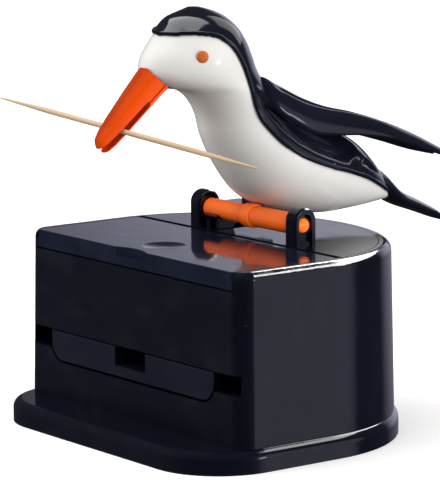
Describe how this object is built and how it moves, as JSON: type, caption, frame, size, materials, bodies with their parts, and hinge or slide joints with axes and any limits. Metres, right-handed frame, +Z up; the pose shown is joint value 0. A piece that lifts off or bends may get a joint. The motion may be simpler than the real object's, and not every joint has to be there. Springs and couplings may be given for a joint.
{
  "type": "toothpick dispenser",
  "caption": "Toothpick dispenser: a bird pivots over a D-shaped box and dips its sprung beak to a drawer that brings out one pick; hinged filling lid.",
  "frame": {"origin": "on the underside of the base, on the middle plane of the box, where the straight depth of the box is centred", "axes": "+Z up; -Y towards the front, where the drawer is and the beak points; +X towards the viewer's right when the front is looked at"},
  "size_m": [0.0798, 0.099, 0.0899],
  "materials": {
    "box": "polished black with a blue cast",
    "lid": "polished black with a blue cast",
    "drawer": "polished black with a blue cast",
    "inner": "moulded dark grey",
    "perch": "glossy orange",
    "bird_white": "glossy white",
    "bird_black": "polished black",
    "beak": "glossy red orange",
    "mouth": "glossy deep red",
    "eye": "glossy orange",
    "pick": "pale raw wood",
    "steel": "bright drawn steel",
    "pad": "soft matte black"
  },
  "bodies": {
    "housing": {"body_shell": "box", "base_plate": "box", "anti_slip_pads": "pad", "base_screws": "steel", "rear_deck": "box", "deck_screws": "steel", "left_bracket": "box", "right_bracket": "box", "bracket_screws": "steel", "lid_hinge_pins": "steel", "pick_chute": "inner", "rocker_shaft": "steel", "toothpick_stock": "pick"},
    "bird": {"perch_axle": "perch", "perch_collar": "perch", "drive_lever": "bird_black", "drive_pin": "steel", "belly_shell": "bird_white", "back_shell": "bird_black", "left_wing": "bird_black", "right_wing": "bird_black", "left_eye": "eye", "right_eye": "eye", "jaw_pin": "steel"},
    "sleeve": {"perch_sleeve": "perch"},
    "top_lid": {"lid": "lid"},
    "drawer": {"feed_drawer": "drawer"},
    "rocker_arm": {"rocker": "inner", "yoke_pin": "steel", "return_spring": "steel"},
    "upper_beak": {"upper_jaw": "beak"},
    "lower_beak": {"lower_jaw": "mouth"},
    "carried_pick": {"held_pick": "pick"}
  },
  "joints": [
    {"name": "bird_dip", "type": "hinge", "parent": "housing", "child": "bird", "pos_m": [0, -0.0063, 0.0445], "axis": [1, 0, 0], "range_deg": [0, 62], "stiffness_Nm_per_rad": 0.006, "springref_deg": -28.65},
    {"name": "lid_hinge", "type": "hinge", "parent": "housing", "child": "top_lid", "pos_m": [0, -0.0116, 0.03905], "axis": [1, 0, 0], "range_deg": [-65, 0]},
    {"name": "sleeve_spin", "type": "hinge", "parent": "bird", "child": "sleeve", "pos_m": [0.0084, -0.0063, 0.0445], "axis": [1, 0, 0], "continuous": true},
    {"name": "upper_beak_flex", "type": "hinge", "parent": "bird", "child": "upper_beak", "pos_m": [0, -0.02921, 0.07561], "axis": [1, 0, 0], "range_deg": [-2.5, 0], "stiffness_Nm_per_rad": 0.01, "springref_deg": 8.59},
    {"name": "lower_beak_flex", "type": "hinge", "parent": "bird", "child": "lower_beak", "pos_m": [0, -0.02921, 0.07561], "axis": [1, 0, 0], "range_deg": [0, 1.5], "stiffness_Nm_per_rad": 0.01, "springref_deg": -8.59},
    {"name": "rocker_turn", "type": "hinge", "parent": "housing", "child": "rocker_arm", "pos_m": [-0.0114, -0.00131, 0.02102], "axis": [1, 0, 0], "range_deg": [-36.97, 0]},
    {"name": "drawer_slide", "type": "slide", "parent": "housing", "child": "drawer", "axis": [0, -1, 0], "range_m": [0, 0.00561]},
    {"name": "pick_swivel", "type": "hinge", "parent": "upper_beak", "child": "carried_pick", "pos_m": [0.0022, -0.04081, 0.06562], "axis": [0, 0.4319, 0.9019], "range_deg": [-21.64, 0]}
  ],
  "couplings": [
    {"joint": "rocker_turn", "follows": "bird_dip", "ratio": -0.5955},
    {"joint": "drawer_slide", "follows": "bird_dip", "m_per_rad": 0.0051751},
    {"joint": "pick_swivel", "follows": "bird_dip", "ratio": -0.3483}
  ]
}
